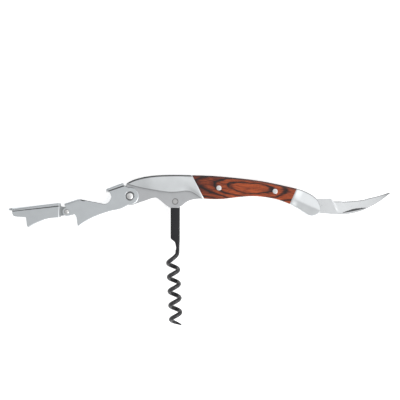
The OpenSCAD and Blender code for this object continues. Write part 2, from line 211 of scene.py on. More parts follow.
class StudioSettings(bpy.types.PropertyGroup):
    """Camera, floor and light"""

    view_width: length_setting("View width", "Width seen at the height of the object's face", 240)
    lens: FloatProperty(
        name="Lens", description="Focal length", default=180, subtype="DISTANCE_CAMERA"
    )
    key: FloatProperty(
        name="Key light", description="Power of the soft light", default=3.0, unit="POWER"
    )


SETTINGS = {
    "corkscrew_handle": HandleSettings,
    "corkscrew_sheet": SheetSettings,
    "corkscrew_worm": WormSettings,
    "corkscrew_blade": BladeSettings,
    "corkscrew_finish": FinishSettings,
    "corkscrew_studio": StudioSettings,
}


# ---------------------------------------------------------------- shader helpers


def fill(tree, node, inputs):
    """Links a node's inputs, by name or number, to sockets, or sets them to values."""
    for name, value in dict(inputs).items():
        if isinstance(value, bpy.types.NodeSocket):
            tree.links.new(value, node.inputs[name])
        else:
            node.inputs[name].default_value = value
    return node


def add(tree, kind, inputs=(), **settings):
    """A shader node with its settings made and its inputs filled."""
    node = tree.nodes.new("ShaderNode" + kind)
    for name, value in settings.items():
        setattr(node, name, value)
    return fill(tree, node, inputs)


def maths(tree, operation, *values, clamp=False):
    node = add(tree, "Math", dict(enumerate(values)), operation=operation, use_clamp=clamp)
    return node.outputs[0]


def vector_maths(tree, operation, *values, output="Vector"):
    node = add(tree, "VectorMath", dict(enumerate(values)), operation=operation)
    return node.outputs[output]


def joined(tree, x, y, z):
    """Three values as one vector or colour."""
    return add(tree, "CombineXYZ", {0: x, 1: y, 2: z}).outputs[0]


def scaled(tree, place, scale):
    return add(tree, "Mapping", {"Vector": place, "Scale": scale}).outputs[0]


def noise(tree, place, scale, detail, roughness=0.5, output="Fac"):
    inputs = {"Vector": place, "Scale": scale, "Detail": detail, "Roughness": roughness}
    return add(tree, "TexNoise", inputs).outputs[output]


def ramp(tree, value, *stops, smooth=True):
    """A colour ramp of (position, colour or grey) stops."""
    node = add(tree, "ValToRGB", {"Fac": value})
    line = node.color_ramp
    line.interpolation = "EASE" if smooth else "LINEAR"
    while len(line.elements) < len(stops):
        line.elements.new(0.5)
    for element, (place, colour) in zip(line.elements, stops):
        element.position = place
        grey = isinstance(colour, (int, float))
        element.color = (colour, colour, colour, 1) if grey else (*colour, 1)
    return node.outputs["Color"]


def mix_colour(tree, share, first, second, blend="MIX"):
    node = add(tree, "Mix", {0: share, 6: first, 7: second}, data_type="RGBA", blend_type=blend)
    return node.outputs[2]


def dimmed(tree, colour, share):
    """A colour with all its channels multiplied by one value."""
    return mix_colour(tree, 1.0, colour, joined(tree, share, share, share), "MULTIPLY")


def attribute(tree, name):
    return add(tree, "Attribute", attribute_name=name).outputs["Fac"]


def node_group(name, inputs, outputs):
    """An empty node group with named sockets, its input node and its output node."""
    tree = bpy.data.node_groups.new(name, "ShaderNodeTree")
    for label, (kind, value) in inputs.items():
        socket = tree.interface.new_socket(label, in_out="INPUT", socket_type="NodeSocket" + kind)
        socket.default_value = value
    for label, kind in outputs.items():
        tree.interface.new_socket(label, in_out="OUTPUT", socket_type="NodeSocket" + kind)
    return tree, tree.nodes.new("NodeGroupInput"), tree.nodes.new("NodeGroupOutput")


def use_group(tree, maker, inputs=()):
    """Places a shared group in a material, building it the first time."""
    node = tree.nodes.new("ShaderNodeGroup")
    node.node_tree = bpy.data.node_groups.get(maker.__doc__) or maker()
    return fill(tree, node, inputs).outputs


# ---------------------------------------------------------------- shared effects


def brushed_grain():
    """Brushed grain"""
    tree, given, result = node_group(
        brushed_grain.__doc__,
        {"Vector": ("Vector", (0, 0, 0)), "Lines": ("Float", 6.0), "Length": ("Float", 14.0)},
        {"Streaks": "Float", "Clouds": "Float"},
    )
    lines = given.outputs["Lines"]
    along = maths(tree, "DIVIDE", lines, given.outputs["Length"])
    place = given.outputs["Vector"]
    squeezed = vector_maths(tree, "MULTIPLY", place, joined(tree, along, lines, lines))
    fill(tree, result, {
        "Streaks": noise(tree, squeezed, 1.0, 4.0, 0.65),
        "Clouds": noise(tree, place, 0.22, 3.0),
    })
    return tree


def wear_sheen_and_shade():
    """Worn edges"""
    tree, given, result = node_group(
        wear_sheen_and_shade.__doc__,
        {"Colour": ("Color", (0.7, 0.7, 0.7, 1)), "Vector": ("Vector", (0, 0, 0)),
         "Shine": ("Float", 0.45), "Seam": ("Float", 0.9)},
        {"Colour": "Color", "Edge": "Float", "Shade share": "Float"},
    )
    # marked edges get patches of wear and a painted highlight, mixed towards white
    patches = noise(tree, given.outputs["Vector"], 0.9, 3.0)
    patchy = maths(tree, "MULTIPLY_ADD", patches, 1.6, -0.25, clamp=True)
    edge = maths(tree, "MULTIPLY", attribute(tree, "edge"), patchy)
    sheen_share = maths(tree, "MULTIPLY", edge, given.outputs["Shine"])
    polish_and_sheen = mix_colour(tree, sheen_share, given.outputs["Colour"], (1, 1, 1, 1))
    # painted shade: faces marked with it are mixed towards near black
    dark = maths(tree, "MULTIPLY", attribute(tree, "seam"), given.outputs["Seam"])
    shaded = mix_colour(tree, dark, polish_and_sheen, (0.03, 0.03, 0.033, 1))
    fill(tree, result, {"Colour": shaded, "Edge": edge, "Shade share": dark})
    return tree


def wood_figure():
    """Wood figure"""
    tree, given, result = node_group(
        wood_figure.__doc__,
        {"Vector": ("Vector", (0, 0, 0)), "Light": ("Color", (0.4, 0.1, 0.03, 1)),
         "Deep": ("Color", (0.15, 0.03, 0.01, 1)), "Ring": ("Color", (0.03, 0.01, 0.01, 1))},
        {"Colour": "Color", "Pores": "Float"},
    )
    point = given.outputs["Vector"]
    # slow wandering of the rings, and a faster wobble along their edges
    sway = noise(tree, point, 0.075, 2.0, output="Color")
    wobble = noise(tree, scaled(tree, point, (0.16, 0.5, 0.5)), 1.0, 4.0, 0.6)
    centred = vector_maths(tree, "SUBTRACT", sway, (0.5, 0.5, 0.5))
    pushed = vector_maths(tree, "MULTIPLY_ADD", centred, (9.0, 3.2, 3.0), point)
    # the rings are long ovals about the middle of the plank, the first one unit out
    oval = scaled(tree, pushed, (1 / 14.4, 1 / 3.5, 0.02))
    reach = vector_maths(tree, "LENGTH", oval, output="Value")
    ragged = maths(tree, "MULTIPLY_ADD", wobble, 0.36, maths(tree, "SUBTRACT", reach, 0.18))
    band = maths(tree, "FRACT", maths(tree, "DIVIDE", maths(tree, "SUBTRACT", ragged, 0.4), 0.62))
    # each ring is nearly black on its outer side and fades inwards
    ring = ramp(tree, band, (0.0, 0.7), (0.05, 0.0), (0.62, 0.02), (0.86, 0.9), (0.95, 1.0),
                (1.0, 0.7))
    depth = ramp(tree, band, (0.0, 0.8), (0.2, 0.15), (0.5, 0.0), (0.86, 0.9), (1.0, 0.8))
    outer = ramp(tree, reach, (0.45, 0.0), (0.7, 1.0))
    patches = ramp(tree, noise(tree, point, 0.13, 3.0), (0.30, 0.45), (0.52, 1.0))
    line = maths(tree, "MULTIPLY", ring, maths(tree, "MULTIPLY", outer, patches))
    streaks = noise(tree, scaled(tree, pushed, (0.11, 1.25, 1.25)), 1.0, 7.0, 0.68)
    grain = ramp(tree, streaks, (0.38, 1.0), (0.49, 0.4), (0.58, 0.0))
    # the plank darkens towards its front end
    place = add(tree, "SeparateXYZ", {0: pushed}).outputs["X"]
    share = maths(tree, "MULTIPLY_ADD", place, 1 / 70, 0.5)
    front = ramp(tree, share, (0.05, 0.5), (0.22, 0.3), (0.34, 0.0), (0.88, 0.0), (1.0, 0.3))
    ringed_share = maths(tree, "MULTIPLY_ADD", maths(tree, "MULTIPLY", depth, outer), 0.5, front)
    grained = maths(tree, "MULTIPLY", grain, 0.75)
    body_share = maths(tree, "ADD", ringed_share, grained, clamp=True)
    body = mix_colour(tree, body_share, given.outputs["Light"], given.outputs["Deep"])
    pores = noise(tree, scaled(tree, pushed, (0.5, 6.0, 6.0)), 1.0, 2.0)
    pore_mask = ramp(tree, pores, (0.58, 0.0), (0.68, 0.6))
    pored = mix_colour(tree, pore_mask, body, given.outputs["Ring"])
    ringed = mix_colour(tree, line, pored, given.outputs["Ring"])
    fill(tree, result, {"Colour": ringed, "Pores": pore_mask})
    return tree


# ---------------------------------------------------------------- materials


def new_material(name):
    """A material, its tree, its Principled shader and the object's own place in millimetres."""
    material = bpy.data.materials.new(name)
    material.use_nodes = True
    tree = material.node_tree
    shader = next(n for n in tree.nodes if n.type == "BSDF_PRINCIPLED")
    place = add(tree, "TexCoord").outputs["Object"]
    return material, tree, shader, scaled(tree, place, (1 / MM, 1 / MM, 1 / MM))


def steel(name, colour, roughness, turn, lines, length, relief, tint=0.07):
    """Brushed steel. Its grain turns away from the handle's length by an angle, with so many
    lines to a millimetre, each so many times longer than wide, of a height in millimetres."""
    material, tree, shader, place = new_material(name)
    turned = add(tree, "Mapping", {"Vector": place, "Rotation": (0, 0, math.radians(turn))})
    grain = use_group(
        tree, brushed_grain, {"Vector": turned.outputs[0], "Lines": lines, "Length": length}
    )
    streaks, clouds = grain["Streaks"], grain["Clouds"]
    lighter = maths(tree, "MULTIPLY_ADD", streaks, tint, 1 - tint / 2)
    clouded = maths(tree, "MULTIPLY", lighter, maths(tree, "MULTIPLY_ADD", clouds, 0.10, 0.95))
    base = dimmed(tree, (*colour, 1), clouded)
    wear_and_painted_light = use_group(tree, wear_sheen_and_shade, {"Colour": base, "Vector": place})
    rough = maths(tree, "ADD", maths(tree, "MULTIPLY_ADD", streaks, 0.14, roughness - 0.07),
                  maths(tree, "MULTIPLY_ADD", clouds, 0.10, -0.05))
    smoother = maths(tree, "MULTIPLY_ADD", wear_and_painted_light["Edge"], -0.12, rough, clamp=True)
    bump = add(tree, "Bump", {"Strength": 0.25, "Distance": relief * MM, "Height": streaks})
    # where shade is painted, the surface is made neither metal nor shiny
    bare = maths(tree, "SUBTRACT", 1.0, wear_and_painted_light["Shade share"])
    fill(tree, shader, {
        "Base Color": wear_and_painted_light["Colour"], "Roughness": smoother, "Normal": bump.outputs[0],
        "Metallic": bare, "Specular IOR Level": maths(tree, "MULTIPLY", bare, 0.5),
    })
    return material


def satin_steel(look):
    return steel("Satin steel", look.satin, 0.34, 0, 9.0, 10.0, 0.02, 0.05)


def liner_steel(look):
    return steel("Liner steel", look.liner, 0.38, 68, 7.0, 9.0, 0.03)


def pressed_steel(look):
    return steel("Pressed steel", look.pressed, 0.38, 24, 7.0, 8.0, 0.03)


def pin_steel(look):
    return steel("Pin steel", look.pin, 0.24, 0, 5.0, 1.0, 0.01, 0.04)


def blade_steel(look):
    return steel("Blade steel", look.blade, 0.30, 82, 8.0, 16.0, 0.03, 0.06)


def bronze(look):
    return steel("Bronze", look.bronze, 0.34, 0, 6.0, 1.0, 0.01)


def pakkawood(look):
    """Oiled, buffed laminate with dark oval rings."""
    material, tree, shader, place = new_material("Pakkawood")
    middle = (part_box("upper_scale")[0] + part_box("upper_scale")[1]) / 2
    turned = add(tree, "Mapping", {
        "Vector": place,
        "Location": (-(middle.x / MM + 3.7), -(middle.y / MM + 1.1), -middle.z / MM),
        "Rotation": (0, 0, math.radians(6)),
    })
    figure = use_group(tree, wood_figure, {
        "Vector": turned.outputs[0], "Light": (*look.wood_light, 1),
        "Deep": (*look.wood_deep, 1), "Ring": (*look.wood_ring, 1),
    })
    # a faint painted highlight on marked edges, and painted shade along the wood's back
    wear_and_painted_light = use_group(tree, wear_sheen_and_shade, {
        "Colour": figure["Colour"], "Vector": place, "Shine": 0.03, "Seam": 0.7,
    })
    rough = maths(tree, "MULTIPLY_ADD", figure["Pores"], 0.25, 0.30)
    bump = add(tree, "Bump", {"Strength": 0.3, "Distance": 0.03 * MM, "Height": figure["Pores"]},
               invert=True)
    fill(tree, shader, {
        "Base Color": wear_and_painted_light["Colour"], "Roughness": rough, "Normal": bump.outputs[0],
        "Specular IOR Level": 0.35, "Coat Weight": 0.06, "Coat Roughness": 0.18,
    })
    return material


def black_coating(look):
    """Baked black coating, rubbed a little lighter on the outside of the turns."""
    material, tree, shader, place = new_material("Black coating")
    speckle = noise(tree, place, 3.2, 4.0, 0.6)
    clouds = maths(tree, "MULTIPLY_ADD", noise(tree, place, 0.3, 2.0), 0.5, 0.3)
    lighter = maths(tree, "MULTIPLY_ADD", speckle, 0.9, clouds)
    base = dimmed(tree, (*look.coating, 1), lighter)
    # the outside of the turns is mixed towards grey in patches: wear and painted highlight
    patchy = ramp(tree, speckle, (0.42, 0.0), (0.66, 0.5))
    wear_and_sheen = maths(tree, "MULTIPLY", attribute(tree, "edge"), patchy)
    bump = add(tree, "Bump", {"Strength": 0.35, "Distance": 0.03 * MM, "Height": speckle})
    fill(tree, shader, {
        "Base Color": mix_colour(tree, wear_and_sheen, base, (0.16, 0.16, 0.165, 1)),
        "Roughness": maths(tree, "MULTIPLY_ADD", speckle, 0.18, 0.16),
        "Normal": bump.outputs[0], "Specular IOR Level": 0.35,
    })
    return material


FINISHES = {
    "satin_steel": satin_steel,
    "liner_steel": liner_steel,
    "pressed_steel": pressed_steel,
    "pin_steel": pin_steel,
    "blade_steel": blade_steel,
    "pakkawood": pakkawood,
    "black_coating": black_coating,
    "bronze": bronze,
}
made_finishes = {}


def finish(slot):
    """The material for one of the record's slots, built the first time it is asked for."""
    if slot not in made_finishes:
        made_finishes[slot] = FINISHES[slot](bpy.context.scene.corkscrew_finish)
    return made_finishes[slot]


def refinish(slot, *nodes):
    """Gives nodes that are shown as they are a finished material."""
    for node in nodes:
        data = frame["nodes"][node].data
        data.materials.clear()
        data.materials.append(finish(slot))


# ---------------------------------------------------------------- mesh helpers

THIN_BLUNT = 0.12 * MM            # width taken off the edges of the liners and the blade


def new_piece(name, mesh, body, slot, *nodes, sharp=32):
    """Makes a bmesh an object, and says which body it rides on, its finish and what it stands for."""
    data = bpy.data.meshes.new(name)
    mesh.to_mesh(data)
    mesh.free()
    if "custom_normal" in data.attributes:
        data.attributes.remove(data.attributes["custom_normal"])
    data.polygons.foreach_set("use_smooth", [True] * len(data.polygons))
    data.set_sharp_from_angle(angle=math.radians(sharp))
    data.materials.clear()
    data.materials.append(finish(slot))
    piece = bpy.data.objects.new(name, data)
    bpy.context.scene.collection.objects.link(piece)
    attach(piece, body)
    if nodes:
        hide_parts(*nodes)
    return piece


def layer(mesh, name):
    """A value per vertex that the materials read."""
    return mesh.verts.layers.float.get(name) or mesh.verts.layers.float.new(name)


def face_layer(mesh, name):
    """A value per face that the materials read."""
    return mesh.faces.layers.float.get(name) or mesh.faces.layers.float.new(name)


def bevel(mesh, edges, width, segments):
    return bmesh.ops.bevel(
        mesh, geom=edges, offset=width, offset_type="OFFSET", affect="EDGES",
        segments=segments, profile=0.5, material=-1, clamp_overlap=False,
    )["faces"]


def blunt_edges(mesh, width, segments=2, least=25):
    """Takes the sharpness off every edge that turns by more than the least angle."""
    edges = [
        e for e in mesh.edges
        if e.is_manifold and e.calc_face_angle() > math.radians(least)
    ]
    mark = face_layer(mesh, "edge")
    for face in bevel(mesh, edges, width, segments):
        face[mark] = 1.0


def turned(mesh, profile, centre, steps=64):
    """Turns a closed profile of (radius, height above the middle plane) about an upright axis."""
    axis = Vector((centre.x, centre.y, MID))
    points = [mesh.verts.new(axis + Vector((r, 0, z))) for r, z in profile]
    edges = [mesh.edges.new(pair) for pair in zip(points, points[1:])]
    bmesh.ops.spin(
        mesh, geom=points + edges, cent=axis, axis=(0, 0, 1), dvec=(0, 0, 0),
        angle=math.tau, steps=steps, use_merge=True, use_duplicate=False,
    )
    bmesh.ops.remove_doubles(mesh, verts=mesh.verts, dist=WELD)
    bmesh.ops.recalc_face_normals(mesh, faces=mesh.faces)


def shade_rim(mesh, centre, inner, outer, depth, base):
    """Darkens a turned piece by the base, and from an inner to an outer radius up to the depth."""
    seam = layer(mesh, "seam")
    for vert in mesh.verts:
        reach = ((vert.co.xy - centre.xy).length - inner) / (outer - inner)
        vert[seam] = base + (depth - base) * ease(reach)


def dome(radius, base, rise, steps=8):
    """Points of a low dome from its pole to its rim."""
    return [
        (radius * math.sin(math.radians(90 * k / steps)),
         base + rise * math.cos(math.radians(90 * k / steps)))
        for k in range(steps + 1)
    ]


def both_ends(half):
    """A pin's profile from its upper pole to its lower one, from the upper half's points."""
    return half + [(r, -z) for r, z in reversed(half)]


# ---------------------------------------------------------------- outlines


def rim_of(node, height):
    """A node's outline at a height, as points in order: the longest loop round an upper face."""
    mesh = copy_of(node)
    left = {
        e for e in mesh.edges
        if all(abs(v.co.z - height) < WELD for v in e.verts)
        and sorted(f.normal.z > 0.9 for f in e.link_faces) == [False, True]
    }
    loops = []
    while left:
        first, vert = left.pop().verts
        loop = [first.co.copy()]
        while vert != first:
            loop.append(vert.co.copy())
            edge = next(e for e in vert.link_edges if e in left)
            left.remove(edge)
            vert = edge.other_vert(vert)
        loops.append(loop)
    mesh.free()
    return max(loops, key=lambda loop: length_of(loop + loop[:1]))


def length_of(chain):
    return sum((b - a).length for a, b in zip(chain, chain[1:]))


def corner(loop, x, y):
    """The point of an outline that lies furthest towards a direction."""
    return max(loop, key=lambda p: p.x * x + p.y * y)


def stretch(loop, start, end):
    """The shorter way along a closed outline from one of its points to another."""
    a, b, n = loop.index(start), loop.index(end), len(loop)
    ways = [
        [loop[(a + k) % n] for k in range((b - a) % n + 1)],
        [loop[(a - k) % n] for k in range((a - b) % n + 1)],
    ]
    return min(ways, key=length_of)


def along(chain, share):
    """The point at a share of a chain's length."""
    left = share * length_of(chain)
    for a, b in zip(chain, chain[1:]):
        step = (b - a).length
        if left <= step and step > 0:
            return a.lerp(b, left / step)
        left -= step
    return chain[-1].copy()


def ease(x):
    """0 up to 0, 1 from 1, and a smooth rise between them."""
    x = min(max(x, 0.0), 1.0)
    return x * x * (3 - 2 * x)


def rounding(inside, radius):
    """How far a rounded edge has fallen at a distance inside it."""
    return radius - math.sqrt(radius ** 2 - (radius - inside) ** 2) if inside < radius else 0.0


def skin(mesh, low, high, columns, rows, height):
    """A sheet of quads between two chains. height(u, v, half, point) gives its height above the
    middle plane and the marks it leaves, where u runs from 0 to 1 along the chains, v from -1 on
    the low one to 1 on the high one, and half is half the distance between them."""
    mark, seam = layer(mesh, "edge"), layer(mesh, "seam")
    made = bmesh.ops.create_grid(mesh, x_segments=columns, y_segments=rows, size=0.5)["verts"]
    spans = {}
    for vert in made:
        key = round(vert.co.x, 6)
        if key not in spans:
            u = 0.5 - 0.5 * math.cos(math.pi * (vert.co.x + 0.5))
            spans[key] = u, along(low, u), along(high, u)
        u, start, end = spans[key]
        v = math.sin(math.pi * vert.co.y)
        point = start.lerp(end, (v + 1) / 2)
        z, vert[mark], vert[seam] = height(u, v, (end - start).length / 2, point)
        vert.co = (point.x, point.y, MID + z)


def close_below(mesh, level):
    """Draws the open border of a sheet down to a level and closes it with one face."""
    border = [e for e in mesh.edges if e.is_boundary]
    drawn = bmesh.ops.extrude_edge_only(mesh, edges=border)["geom"]
    for vert in (g for g in drawn if isinstance(g, bmesh.types.BMVert)):
        vert.co.z = MID + level
    bmesh.ops.remove_doubles(mesh, verts=mesh.verts, dist=WELD)
    bmesh.ops.contextual_create(mesh, geom=[e for e in mesh.edges if e.is_boundary])


def take_in(mesh, other):
    """Moves the whole of another bmesh into a mesh."""
    spare = bpy.data.meshes.new("spare")
    other.to_mesh(spare)
    other.free()
    mesh.from_mesh(spare)
    bpy.data.meshes.remove(spare)


def turn_over(mesh):
    """Mirrors a mesh in the middle plane."""
    flip = Matrix.Translation((0, 0, 2 * MID)) @ Matrix.Scale(-1, 4, (0, 0, 1))
    bmesh.ops.transform(mesh, matrix=flip, verts=mesh.verts)


def crowned(name, node, side, low, high, height, slot, columns=90, rows=30):
    """One crowned slab of the handle, lying on a liner."""
    mesh = bmesh.new()
    skin(mesh, low, high, columns, rows, height)
    close_below(mesh, LINER_OUT)
    if side == LOWER:
        turn_over(mesh)
    bmesh.ops.recalc_face_normals(mesh, faces=mesh.faces)
    return new_piece(name, mesh, "handle", slot, node, sharp=40)


# ---------------------------------------------------------------- handle

TOP_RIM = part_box("upper_scale")[1].z
SIDES = {"upper": UPPER, "lower": LOWER}
HALF_DEEP = 6.5 * MM              # half the handle's depth, from back to belly
PIVOT_SHADE_RADIUS = 2.2 * MM               # radius, on a liner, of the painted shade round the worm's pivot


def crown_fall(v, half, shape):
    """How far the crowned surface lies below the tops of the rivets."""
    return shape.proud + shape.crown * min(half / HALF_DEEP, 1) ** 2 * abs(v) ** 2.2


def scale_height(u, v, half, point):
    """The crown of the wood, rounded along the back and the belly."""
    shape = bpy.context.scene.corkscrew_handle
    inside = half * (1 - abs(v))
    fall = crown_fall(v, half, shape) + rounding(inside, shape.edge_round)
    # painted shade: a dark band along the back, where the wood rounds away
    back = (v > 0) * ease((1.5 * MM - inside) / (0.9 * MM))
    return SCALE_OUT - fall, float(abs(v) > 0.97), back


def front_bolster_height(u, v, half, point):
    """The same crown, falling to the nose, with a crisp step along its lower edge."""
    shape = bpy.context.scene.corkscrew_handle
    inside = half * (1 - abs(v))
    step = shape.step_round + (shape.edge_round - shape.step_round) * ease((u - 0.92) / 0.08)
    radius = shape.edge_round if v > 0 else step
    fall = crown_fall(v, half, shape) + rounding(inside, min(radius, 0.3 * half + WELD))
    fall += shape.nose_fall * (1 - ease(u / 0.4))
    fall += shape.lip * (1 - ease((1 - u) / 0.012))
    # painted shade: a dark line along the back and a lighter one along the step, fading out at the
    # wood joint
    width = (1.25 if v > 0 else 0.75) * MM
    line = ease((width - inside) / (0.45 * MM)) * ease((1 - u) / 0.03)
    return SCALE_OUT - fall, float(abs(v) > 0.985), (1.0 if v > 0 else 0.75) * line


def rear_bolster_height(ridge):
    """Two facets that meet in a ridge, which grows out of the crown of the wood."""
    shape = bpy.context.scene.corkscrew_handle
    start, end = ridge
    run = (end - start).xy
    side_way = Vector((-run.y, run.x)).normalized()

    def height(u, v, half, point):
        inside = half * (1 - abs(v))
        off = (point - start).xy.dot(side_way)
        facet = shape.proud + shape.facet * (abs(off) / HALF_DEEP) ** (1.2 if off > 0 else 0.9)
        crown = crown_fall(v, half, shape)
        blended = crown + (facet - crown) * ease(u / 0.22)
        fall = blended + rounding(inside, min(shape.edge_round, max(half, WELD)))
        fall += shape.lip * (1 - ease(u / 0.03))
        # painted shade: a thin dark line along the back
        line = 0.6 * (v > 0) * ease((0.8 * MM - inside) / (0.4 * MM))
        return SCALE_OUT - fall, float(abs(v) > 0.97), line

    return height


def handle_chains(node):
    """The low and the high chain of a slab of the handle, from its front to its rear."""
    rim = rim_of(node, TOP_RIM)
    if "front" in node:
        nose = corner(rim, -1, 0)
        return stretch(rim, nose, corner(rim, 1, 0)), stretch(rim, nose, corner(rim, 1, 1))
    if "rear" in node:
        tail = corner(rim, 0.97, -0.25)
        return stretch(rim, corner(rim, -1, 0), tail), stretch(rim, corner(rim, -1, 1), tail)
    low = stretch(rim, corner(rim, -1, -1), corner(rim, 1, -1))
    return low, stretch(rim, corner(rim, -1, 0), corner(rim, 1, 0))


class CORKSCREW_OT_liners(bpy.types.Operator):
    """Makes the two liners and the spacer between them, with their edges blunted"""

    bl_idname = "corkscrew.liners"
    bl_label = "Liners and spacer"

    def execute(self, context):
        for node in ("upper_liner", "lower_liner", "spacer_bar"):
            mesh = copy_of(node, SLIVER)
            blunt_edges(mesh, THIN_BLUNT)
            # painted shade on the liner round the worm's pivot
            seam, pivot = face_layer(mesh, "seam"), pivot_of("worm_fold")
            for face in mesh.faces:
                if (face.calc_center_median().xy - pivot.xy).length < PIVOT_SHADE_RADIUS:
                    face[seam] = 0.6
            new_piece(node + "_plate", mesh, "handle", "liner_steel", node, sharp=20)
        return {"FINISHED"}


class CORKSCREW_OT_bolsters(bpy.types.Operator):
    """Makes the front and the rear bolsters on both sides"""

    bl_idname = "corkscrew.bolsters"
    bl_label = "Bolsters"

    def execute(self, context):
        front = handle_chains("upper_front_bolster")
        rear = handle_chains("upper_rear_bolster")
        ridge = rear[0][0].lerp(rear[1][0], 0.36), rear[0][-1]
        for name, side in SIDES.items():
            crowned(name + "_front_bolster_cap", name + "_front_bolster", side, *front,
                    front_bolster_height, "satin_steel")
            crowned(name + "_rear_bolster_cap", name + "_rear_bolster", side, *rear,
                    rear_bolster_height(ridge), "satin_steel", 70, 40)
        return {"FINISHED"}


class CORKSCREW_OT_scales(bpy.types.Operator):
    """Makes the two wood scales"""

    bl_idname = "corkscrew.scales"
    bl_label = "Wood scales"

    def execute(self, context):
        chains = handle_chains("upper_scale")
        for name, side in SIDES.items():
            crowned(name + "_wood", name + "_scale", side, *chains, scale_height, "pakkawood")
        return {"FINISHED"}


class CORKSCREW_OT_pins(bpy.types.Operator):
    """Makes the rivets and pins that show, with their heads"""

    bl_idname = "corkscrew.pins"
    bl_label = "Rivets and pins"

    def execute(self, context):
        self.scale_rivets()
        self.lever_pivot()
        self.worm_pivot()
        self.lever_hinge()
        return {"FINISHED"}

    def measures(self, node):
        """The radius of a pin's ends, and their height above the middle plane."""
        low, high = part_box(node)
        return (high.x - low.x) / 2, high.z - MID

    def turn_pin(self, name, node, body, joint, half, shade=None):
        """Turns a pin about a joint's axis from its upper half's profile."""
        mesh = bmesh.new()
        turned(mesh, both_ends(half), pivot_of(joint))
        if shade:
            shade_rim(mesh, pivot_of(joint), *shade)
        new_piece(name, mesh, body, "pin_steel", node)

    def scale_rivets(self):
        centres = centres_of("upper_scale_rivets")
        low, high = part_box("upper_scale_rivets")
        radius = (high.y - low.y - abs(centres[0].y - centres[1].y)) / 2
        foot, rise = low.z - MID, 0.1 * MM
        for name, side in SIDES.items():
            mesh = bmesh.new()
            for centre in centres:
                profile = dome(radius, SCALE_OUT - rise, rise) + [(radius, foot), (0, foot)]
                turned(mesh, profile, centre, 48)
            if side == LOWER:
                turn_over(mesh)
            bmesh.ops.recalc_face_normals(mesh, faces=mesh.faces)
            new_piece(name + "_rivets", mesh, "handle", "pin_steel", name + "_scale_rivets")

    def lever_pivot(self):
        """A domed head sunk in the ring-shaped recess of each cheek."""
        head, top = self.measures("lever_pivot_pin")
        neck = LEVER_OUT - 0.4 * MM
        half = dome(head, LEVER_OUT, top - LEVER_OUT) + [(head, neck), (1.5 * MM, neck)]
        self.turn_pin("lever_pivot_rivet", "lever_pivot_pin", "handle", "lever_fold", half)

    def worm_pivot(self):
        """Peened flush with the liners, with a fine groove round it."""
        radius, end = self.measures("worm_pivot_pin")
        half = [(0, end), (radius * 0.55, end), (radius - 0.18 * MM, end - 0.01 * MM),
                (radius, end - 0.3 * MM)]
        # a dark ring at the rim is painted shade; the whole pin is also darkened a little
        self.turn_pin("worm_pivot_rivet", "worm_pivot_pin", "handle", "worm_fold", half,
                      (0.8 * radius, radius, 0.9, 0.4))

    def lever_hinge(self):
        """A small pin with peened round heads."""
        head, top = self.measures("lever_hinge_pin")
        rim, under = LEVER_OUT + 0.12 * MM, LEVER_OUT + 0.01 * MM
        half = dome(head, rim, top - rim) + [(head - 0.08 * MM, under), (1.0 * MM, under)]
        # painted shade: a dark ring round the rim of each head
        self.turn_pin("lever_hinge_rivet", "lever_hinge_pin", "lever", "tip_fold", half,
                      (0.75 * head, head, 0.8, 0.15))


class CORKSCREW_OT_inner(bpy.types.Operator):
    """Gives the inner pins, washers, sleeve and spring their finishes"""

    bl_idname = "corkscrew.inner"
    bl_label = "Inner pieces"

    def execute(self, context):
        refinish("bronze", "worm_washers", "blade_washers")
        refinish("pin_steel", "bolster_pins", "spacer_pins", "blade_pivot_pin",
                 "blade_stop_pin", "lever_pivot_sleeve", "tip_spring_rivet")
        refinish("liner_steel", "tip_spring")
        return {"FINISHED"}


# ---------------------------------------------------------------- lever

HINGE_REACH = 10 * MM             # the web that starts this near the hinge has no dark line
BACK_LENGTH = 14 * MM             # the most that the arm's back runs from its peak to the notch


def back_lines(mesh, node, shape):
    """The dark lines along the lever's back, where the cheeks meet a web. Each is given as its two
    ends, the way out of the web, and its near and its far side inside it. A web that rises towards
    the pivot is rounded where it turns down, and its line, which the arm's front web lacks, lies
    under the rounding. A web that falls is sheared, and its line runs on over the bare cheek."""
    low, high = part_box(node)
    lines, rounded = [], []
    for face in mesh.faces:
        heights = [v.co.z for v in face.verts]
        if face.normal.y < 0.5 or max(heights) - min(heights) < 0.98 * (high.z - low.z):
            continue
        edges = [
            e for e in face.edges
            if abs(e.verts[0].co.z - e.verts[1].co.z) < WELD and e.calc_length() > 3 * MM
        ]
        if not edges:
            continue
        start, end = sorted((v.co.copy() for v in edges[0].verts), key=lambda p: p.x)
        out = face.normal.copy()
        if out.x < 0:
            rounded += edges
            if node == "lever_tip" or start.x > pivot_of("tip_fold").x + HINGE_REACH:
                lines.append((start, end, out, shape.fold, shape.fold + shape.seam))
            continue
        way = (end - start).normalized()
        in_line = [
            v.co for v in mesh.verts
            if abs((v.co - start).dot(out)) < SLIVER and (v.co - start).dot(way) < BACK_LENGTH
        ]
        end = max(in_line, key=lambda p: (p - start).dot(way)).copy()
        lines.append((start, end, out, 0, shape.sheared))
    bevel(mesh, rounded, shape.fold, 8)
    return lines


def score(mesh, lines):
    """Cuts the cheeks along both sides of every line."""
    for start, end, outward, *distances in lines:
        for distance in distances:
            cheeks = [f for f in mesh.faces if abs(f.normal.z) > 0.99]
            parts = {p for f in cheeks for p in (*f.verts, *f.edges)}
            bmesh.ops.bisect_plane(
                mesh, geom=list(parts) + cheeks, dist=WELD,
                plane_co=start - distance * outward, plane_no=outward,
            )


